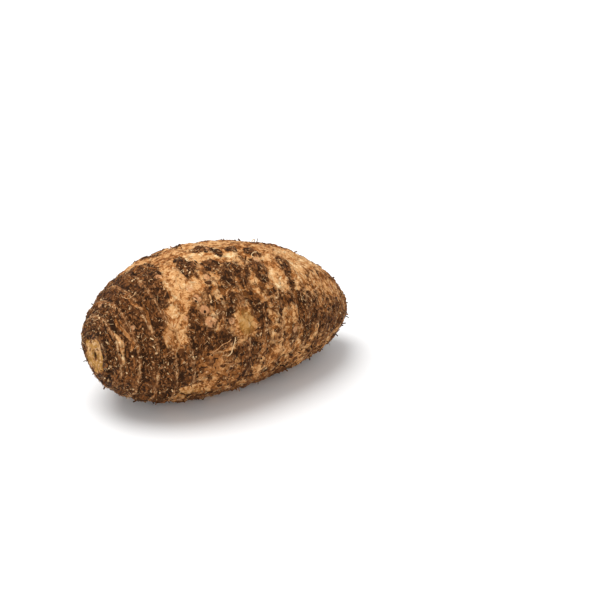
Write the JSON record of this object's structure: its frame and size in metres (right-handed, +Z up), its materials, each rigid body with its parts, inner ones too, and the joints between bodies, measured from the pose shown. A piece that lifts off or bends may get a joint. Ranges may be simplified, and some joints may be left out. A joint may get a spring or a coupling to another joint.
{
  "type": "malanga corm",
  "caption": "Whole brown-skinned malanga corm lying on its belly: a blunt, slightly humped starchy tuber, broad at the base and narrower at the bud end.",
  "frame": {"origin": "on the ground under the middle of the corm's bounding box", "axes": "+X along the corm from its broad base to its narrow bud end, +Z up from the ground it lies on"},
  "size_m": [0.1682, 0.0922, 0.0832],
  "materials": {
    "bark": "rough fibrous bark, mottled dark brown and tan"
  },
  "bodies": {
    "root": {"corm": "bark"}
  },
  "joints": []
}
